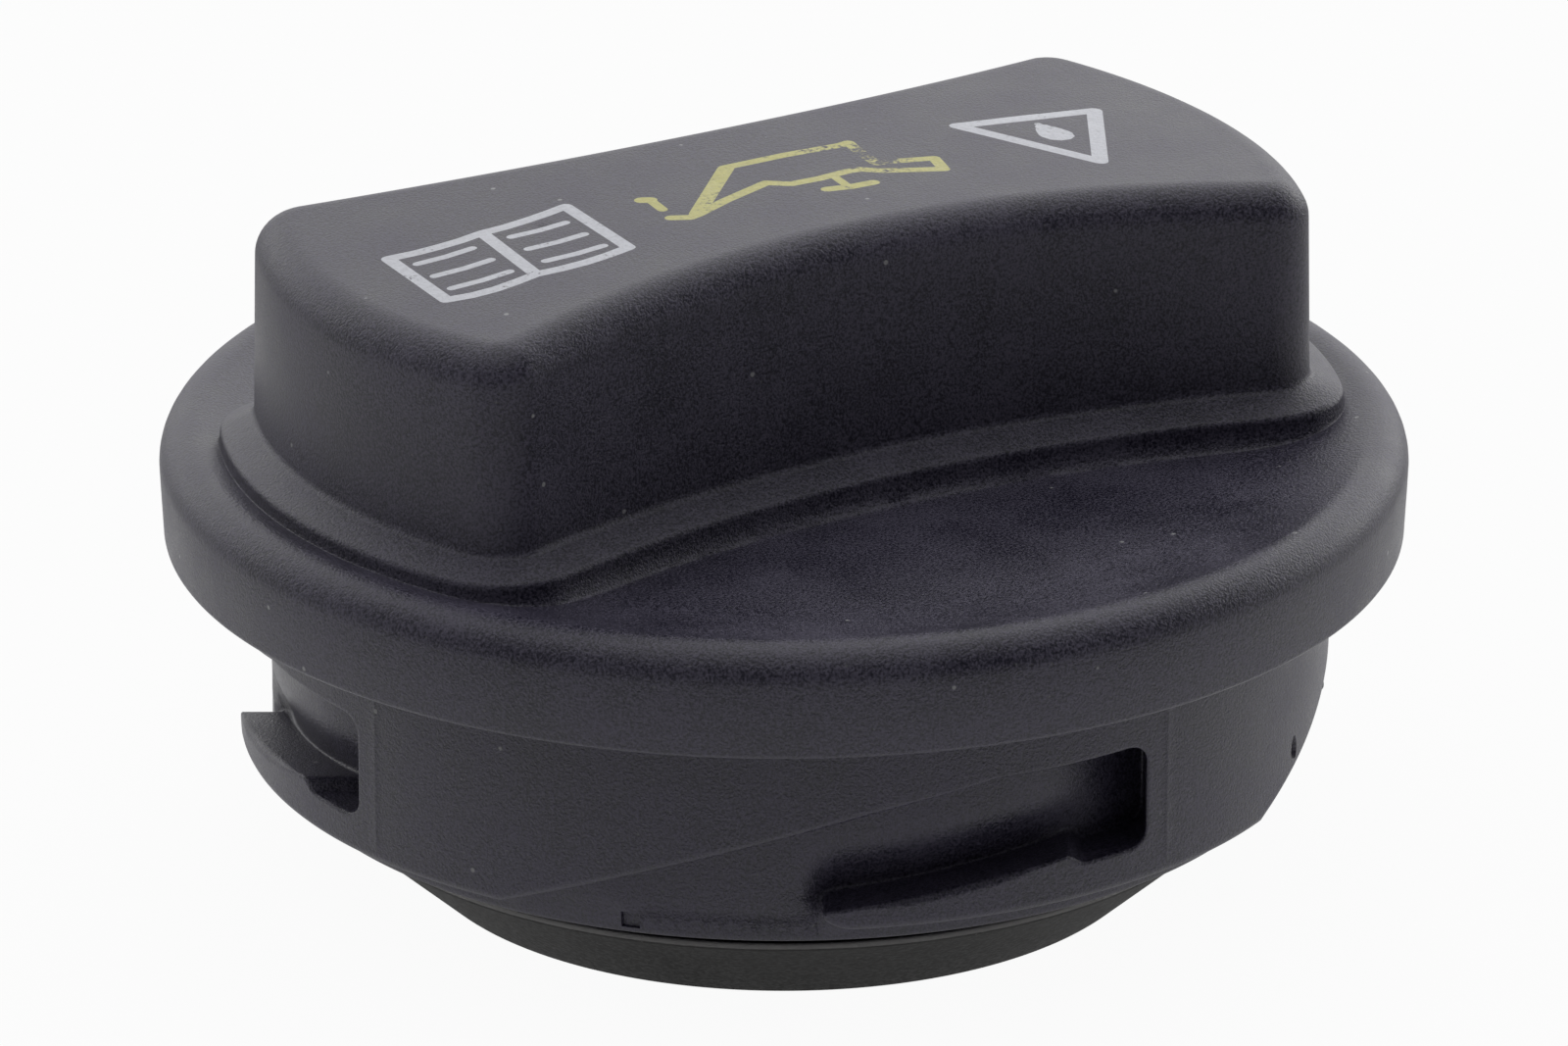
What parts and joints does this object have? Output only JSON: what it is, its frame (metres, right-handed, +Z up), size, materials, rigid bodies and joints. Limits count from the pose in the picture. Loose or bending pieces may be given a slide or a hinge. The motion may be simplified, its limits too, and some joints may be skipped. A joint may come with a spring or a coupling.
{
  "type": "oil filler cap",
  "caption": "Black moulded oil filler cap with a pinched bar grip, a dished round flange, a bayonet spigot and a rubber lip seal under it.",
  "frame": {"origin": "centre of the seal's resting face, at the bottom of the part", "axes": "+Z up through the grip, out of the filler neck; the grip lies along X"},
  "size_m": [0.07, 0.07, 0.0404],
  "materials": {
    "black_nylon": "fine matt moulded grain, glass-filled nylon",
    "seal_rubber": "matt moulded rubber"
  },
  "bodies": {
    "root": {"cap_body": "black_nylon", "lip_seal": "seal_rubber"}
  },
  "joints": []
}
